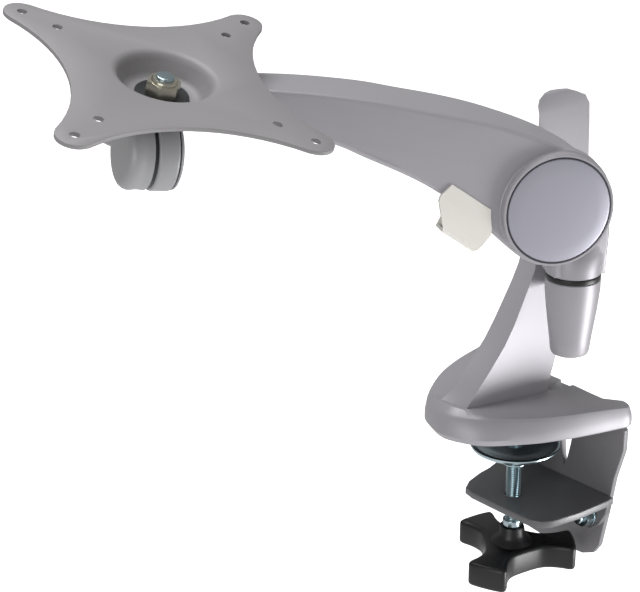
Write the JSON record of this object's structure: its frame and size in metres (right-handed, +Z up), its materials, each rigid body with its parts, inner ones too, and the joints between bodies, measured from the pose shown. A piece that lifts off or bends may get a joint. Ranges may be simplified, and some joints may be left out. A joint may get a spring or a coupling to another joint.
{
  "type": "monitor arm",
  "caption": "Desk-clamp monitor arm with a swivelling sprung-friction arm, tilting head and square screen plate.",
  "frame": {"origin": "desk contact plane under the base, on the clamp screw axis", "axes": "+Z up; -Y towards the rounded front of the base; +Y towards the clamp plate; +X towards the side with the arm's post"},
  "size_m": [0.1495, 0.3149, 0.3161],
  "materials": {
    "silver_paint": "satin silver powder coat",
    "grey_paint": "satin grey powder coat",
    "silver_satin": "satin",
    "plate_grey": "fine matt grey coat",
    "dark_steel": "dull",
    "zinc_steel": "zinc plated",
    "black_steel": "black",
    "black_plastic": "matt",
    "black_rubber": "matt",
    "milky_plastic": "milky"
  },
  "bodies": {
    "base": {"base_casting": "silver_paint", "clamp_back_plate": "plate_grey", "desk_pad": "black_rubber", "base_plate_screws": "zinc_steel", "shelf_bracket": "dark_steel", "bracket_bolts": "zinc_steel", "bracket_washers": "zinc_steel", "bracket_nuts": "zinc_steel", "shelf_weld_nut": "zinc_steel", "post_bushes": "black_plastic", "thrust_ring": "black_plastic"},
    "cup": {"pressure_cup": "zinc_steel"},
    "screw": {"clamp_screw": "zinc_steel", "cup_retainer": "zinc_steel", "screw_collar": "zinc_steel", "clamp_knob": "black_plastic"},
    "yoke": {"yoke_casting": "silver_paint", "pan_post": "zinc_steel", "post_clip": "zinc_steel", "post_washer": "zinc_steel", "yoke_set_screw": "black_steel", "lift_bush": "black_plastic", "lift_friction_washers": "black_plastic"},
    "arm": {"arm_casting": "silver_paint", "underside_cover": "black_plastic", "lift_pin": "zinc_steel", "lift_nut": "zinc_steel", "lift_disc_spring": "zinc_steel", "hub_cap": "silver_satin", "hub_seal_ring": "black_plastic", "far_hub_cap": "grey_paint", "cable_clip": "milky_plastic"},
    "swivel": {"swivel_housing": "grey_paint", "swivel_pin": "zinc_steel", "swivel_washer": "black_plastic", "swivel_retainer": "zinc_steel", "tilt_end_cap": "grey_paint", "end_cap_gasket": "black_plastic"},
    "tilt": {"tilt_block": "grey_paint", "tilt_friction_washer": "black_plastic", "tilt_bolt": "zinc_steel", "plate_stud": "zinc_steel", "lower_plate_washer": "black_plastic", "upper_plate_washer": "black_plastic", "lock_nut": "zinc_steel"},
    "plate": {"vesa_plate": "plate_grey"}
  },
  "joints": [
    {"name": "clamp_slide", "type": "slide", "parent": "base", "child": "cup", "axis": [0, 0, 1], "range_m": [-0.014, 0.0015]},
    {"name": "clamp_turn", "type": "hinge", "parent": "cup", "child": "screw", "pos_m": [0, 0, -0.05], "axis": [0, 0, 1], "range_deg": [-4000, 430]},
    {"name": "arm_pan", "type": "hinge", "parent": "base", "child": "yoke", "pos_m": [0.035, -0.0021, 0.0875], "axis": [0, 0, 1], "range_deg": [-20, 200]},
    {"name": "arm_lift", "type": "hinge", "parent": "yoke", "child": "arm", "pos_m": [0.0266, -0.0193, 0.1283], "axis": [-0.8988, 0.4384, 0], "range_deg": [-40, 20]},
    {"name": "head_pan", "type": "hinge", "parent": "arm", "child": "swivel", "pos_m": [-0.0574, -0.1908, 0.1729], "axis": [0.0462, 0.1276, 0.9907], "range_deg": [-200, 25]},
    {"name": "head_tilt", "type": "hinge", "parent": "swivel", "child": "tilt", "pos_m": [-0.02918, -0.20097, 0.17289], "axis": [0.3358, 0.9321, -0.1358], "range_deg": [-10, 65]},
    {"name": "plate_rotation", "type": "hinge", "parent": "tilt", "child": "plate", "pos_m": [-0.02147, -0.20013, 0.19771], "axis": [0.2963, 0.0323, 0.9546], "range_deg": [-90, 90]}
  ],
  "couplings": [
    {"joint": "clamp_slide", "follows": "clamp_turn", "m_per_rad": 0.00019894}
  ]
}
